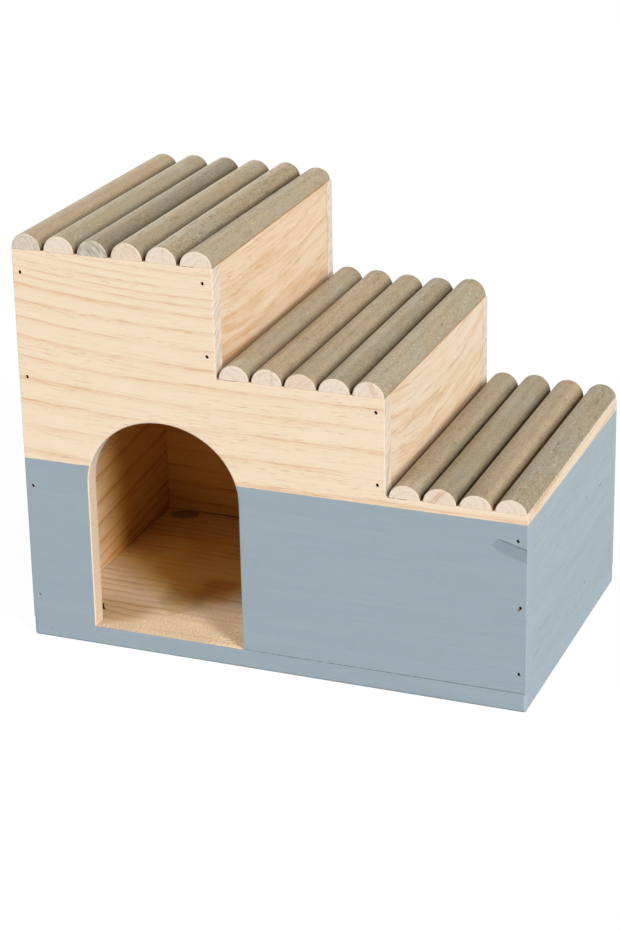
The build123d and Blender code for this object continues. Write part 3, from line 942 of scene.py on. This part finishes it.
# Camera, solved from the corners of the house in the photograph
CAMERA_PLACE = Vector((0.4235, -1.0833, 0.5570))
CAMERA_AZIMUTH = math.radians(22.07)
CAMERA_ELEVATION = math.radians(21.15)
CAMERA_ROLL = math.radians(-1.28)
CAMERA_LENS = 99.87
CAMERA_SHIFT = (0.0160, -0.0619)
CAMERA_SENSOR = 36.0

# Lamps: name, azimuth, elevation and spread in degrees, strength
LAMPS = (
    ("key_low", 35.5, 15.0, 13.0, 0.46),
    ("key_high", 35.5, 36.0, 16.0, 0.48),
    ("fill", 135.0, 53.0, 18.0, 0.34),
    ("front", 95.0, 42.0, 25.0, 0.07),
    ("rim", -15.0, 30.0, 40.0, 0.30),
    ("back", 250.0, 7.0, 25.0, 0.38),
)
ROOM_LIGHT = 0.15

# The studio floor lies this far under the house, so that the two faces don't coincide
FLOOR_DROP = 0.0001


def make_camera():
    """Camera at the photograph's viewing angle."""
    data = bpy.data.cameras.new("camera")
    data.lens = CAMERA_LENS
    data.sensor_width = CAMERA_SENSOR
    data.shift_x, data.shift_y = CAMERA_SHIFT
    data.clip_end = 20.0
    level = math.cos(CAMERA_ELEVATION)
    ahead = Vector((-math.sin(CAMERA_AZIMUTH) * level, math.cos(CAMERA_AZIMUTH) * level,
                    -math.sin(CAMERA_ELEVATION)))
    right = ahead.cross(Vector((0, 0, 1))).normalized()
    up = right.cross(ahead)
    cos_roll, sin_roll = math.cos(CAMERA_ROLL), math.sin(CAMERA_ROLL)
    right, up = right * cos_roll + up * sin_roll, up * cos_roll - right * sin_roll
    turn = Matrix((right, up, -ahead)).transposed().to_4x4()
    camera = bpy.data.objects.new("camera", data)
    camera.matrix_world = Matrix.Translation(CAMERA_PLACE) @ turn
    bpy.context.scene.collection.objects.link(camera)
    bpy.context.scene.camera = camera


def add_sun(name, azimuth, elevation, spread, strength):
    """Distant soft lamp. The azimuth turns from +X towards the front, angles in degrees."""
    data = bpy.data.lights.new(name, "SUN")
    data.angle = math.radians(spread)
    data.energy = strength * math.pi
    flat = math.cos(math.radians(elevation))
    place = Vector((flat * math.cos(math.radians(azimuth)), -flat * math.sin(math.radians(azimuth)),
                    math.sin(math.radians(elevation))))
    light = bpy.data.objects.new(name, data)
    light.location = place
    light.rotation_euler = place.to_track_quat("Z", "Y").to_euler()
    bpy.context.scene.collection.objects.link(light)


def make_world(strength):
    """Even light from the room."""
    world = bpy.data.worlds.new("studio")
    world.use_nodes = True
    tree = world.node_tree
    ambient = tree.nodes["Background"]
    ambient.inputs["Color"].default_value = (1, 1, 1, 1)
    ambient.inputs["Strength"].default_value = strength
    white = tree.nodes.new("ShaderNodeBackground")
    white.inputs["Strength"].default_value = 1.0
    rays = tree.nodes.new("ShaderNodeLightPath")
    mixed = tree.nodes.new("ShaderNodeMixShader")
    tree.links.new(rays.outputs["Is Camera Ray"], mixed.inputs[0])
    tree.links.new(ambient.outputs[0], mixed.inputs[1])
    tree.links.new(white.outputs[0], mixed.inputs[2])
    tree.links.new(mixed.outputs[0], tree.nodes["World Output"].inputs[0])
    bpy.context.scene.world = world


def make_floor(half, tone, white_share, white_strength):
    """Studio floor, grey to the lamps but near white to the camera, with the house's shadow.

    half is half its side in metres and tone its grey. The camera sees it mixed with white light,
    whose share is white_share and whose strength is white_strength.
    """
    mesh = bpy.data.meshes.new("studio_floor")
    flat = ((-half, -half), (half, -half), (half, half), (-half, half))
    mesh.from_pydata([(x, y, -FLOOR_DROP) for x, y in flat], [], [(0, 1, 2, 3)])
    floor = bpy.data.objects.new("studio_floor", mesh)
    bpy.context.scene.collection.objects.link(floor)
    material = bpy.data.materials.new("studio_floor")
    material.use_nodes = True
    tree = material.node_tree
    diffuse = tree.nodes["Principled BSDF"]
    diffuse.inputs["Base Color"].default_value = (tone, tone, tone, 1)
    diffuse.inputs["Roughness"].default_value = 0.9
    diffuse.inputs["Specular IOR Level"].default_value = 0.0
    white = tree.nodes.new("ShaderNodeEmission")
    white.inputs["Strength"].default_value = white_strength
    rays = tree.nodes.new("ShaderNodeLightPath")
    share = tree.nodes.new("ShaderNodeMath")
    share.operation = "MULTIPLY"
    share.inputs[1].default_value = white_share
    mixed = tree.nodes.new("ShaderNodeMixShader")
    tree.links.new(rays.outputs["Is Camera Ray"], share.inputs[0])
    tree.links.new(share.outputs[0], mixed.inputs[0])
    tree.links.new(diffuse.outputs[0], mixed.inputs[1])
    tree.links.new(white.outputs[0], mixed.inputs[2])
    tree.links.new(mixed.outputs[0], tree.nodes["Material Output"].inputs[0])
    mesh.materials.append(material)


make_camera()
make_world(ROOM_LIGHT)
make_floor(half=4.0, tone=0.42, white_share=0.85, white_strength=1.11)
for lamp in LAMPS:
    add_sun(*lamp)
bpy.context.scene.view_settings.view_transform = "Standard"
